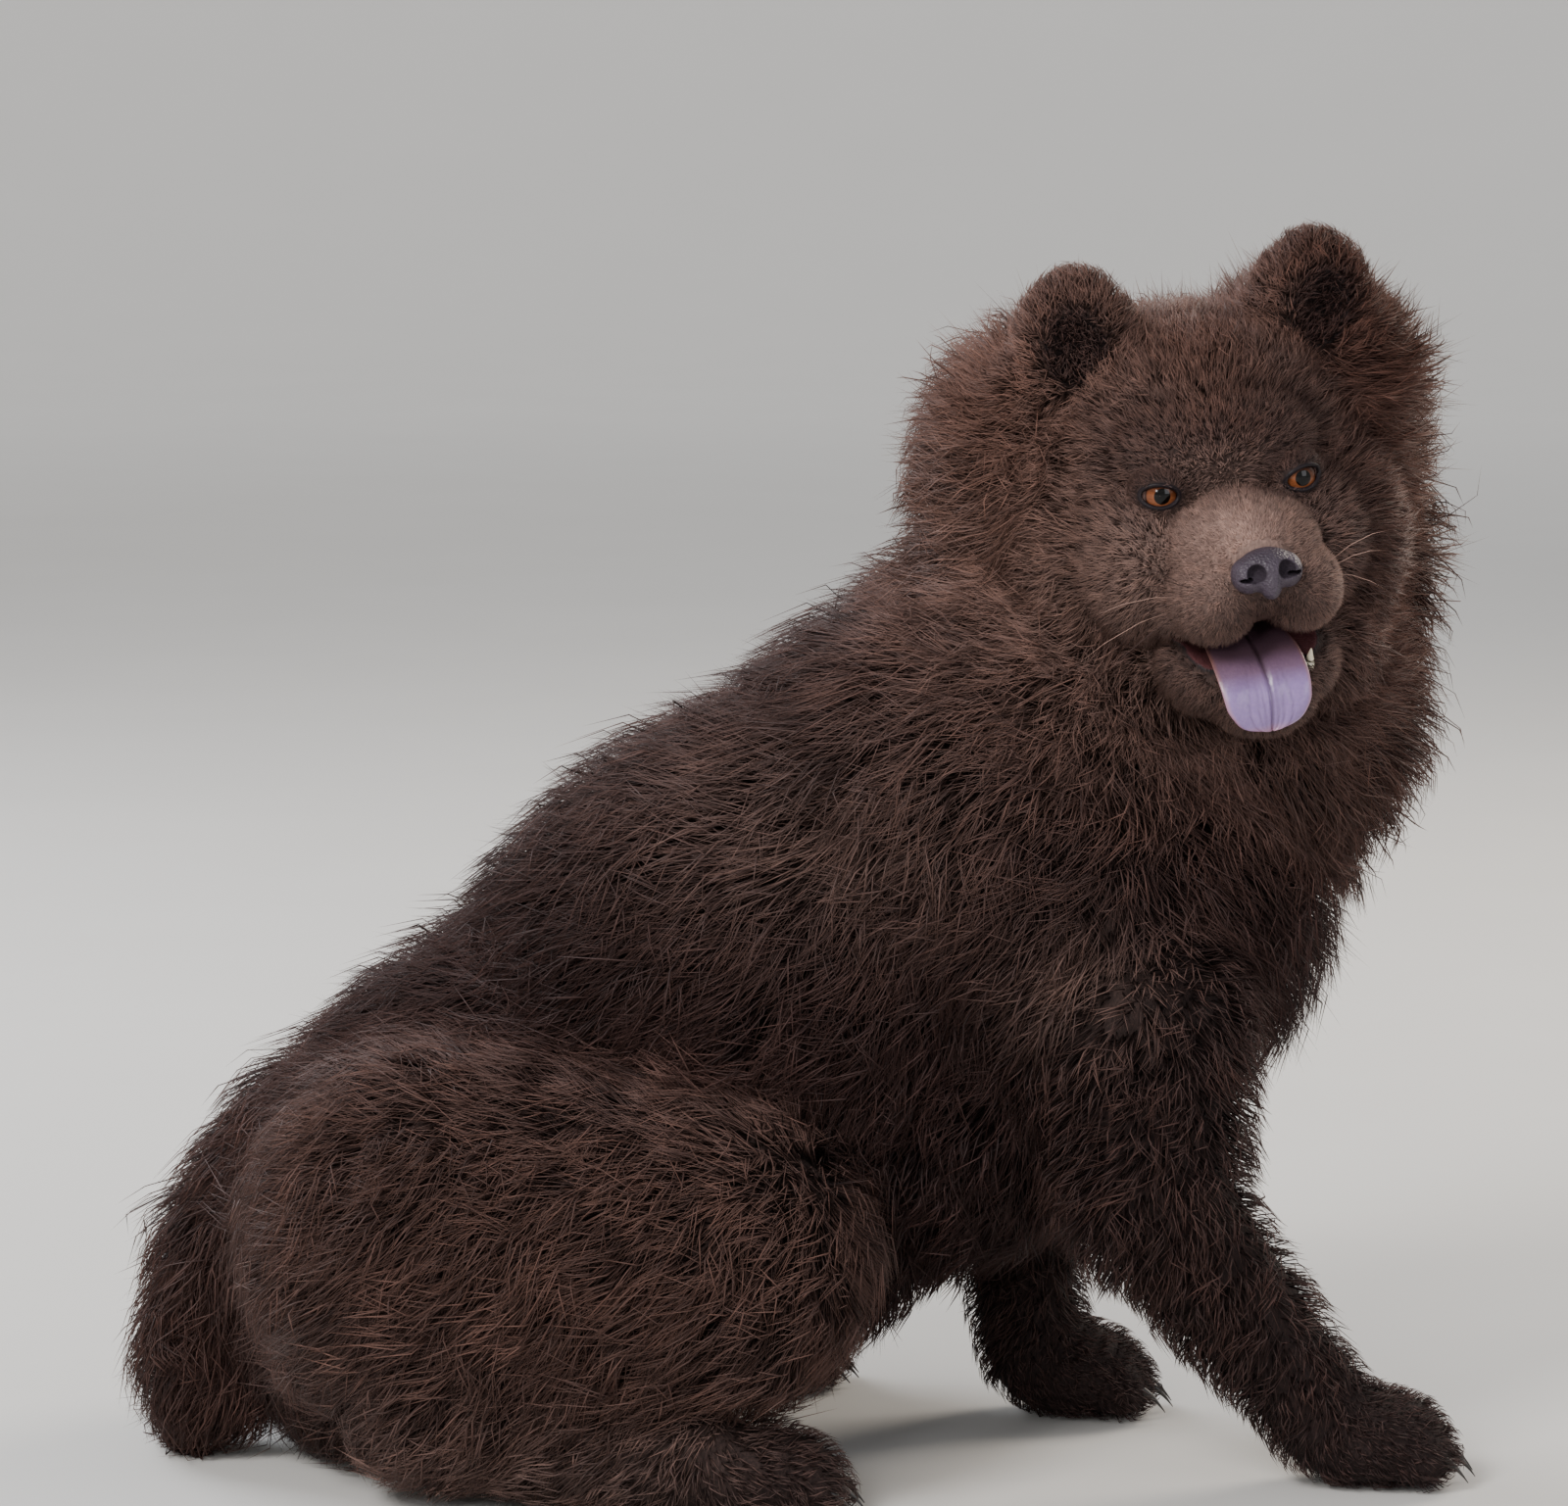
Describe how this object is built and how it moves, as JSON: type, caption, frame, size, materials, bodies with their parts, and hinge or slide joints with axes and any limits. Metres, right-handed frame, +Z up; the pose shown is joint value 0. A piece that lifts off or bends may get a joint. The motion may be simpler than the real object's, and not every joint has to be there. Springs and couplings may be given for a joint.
{
  "type": "chow chow",
  "caption": "Life-size still model of a young dark brown chow chow, sitting, head turned to its right, mouth open with a blue-grey tongue.",
  "frame": {"origin": "on the floor, under the middle of the whole dog's box", "axes": "+X the way the sitting body faces, +Y the dog's left, +Z up; the head looks to -Y"},
  "size_m": [0.5996, 0.3732, 0.5518],
  "materials": {
    "coat": "matte",
    "nose": "satin",
    "tongue": "satin",
    "eye": "gloss",
    "tooth": "gloss"
  },
  "bodies": {
    "root": {"head": "coat", "lower_jaw": "coat", "neck": "coat", "torso": "coat", "tail": "coat", "foreleg_right": "coat", "foreleg_left": "coat", "hindleg_right": "coat", "hindleg_left": "coat", "ear_right": "coat", "ear_left": "coat", "nose": "nose", "tongue": "tongue", "eye_right": "eye", "eye_left": "eye", "canine_left": "tooth"}
  },
  "joints": []
}
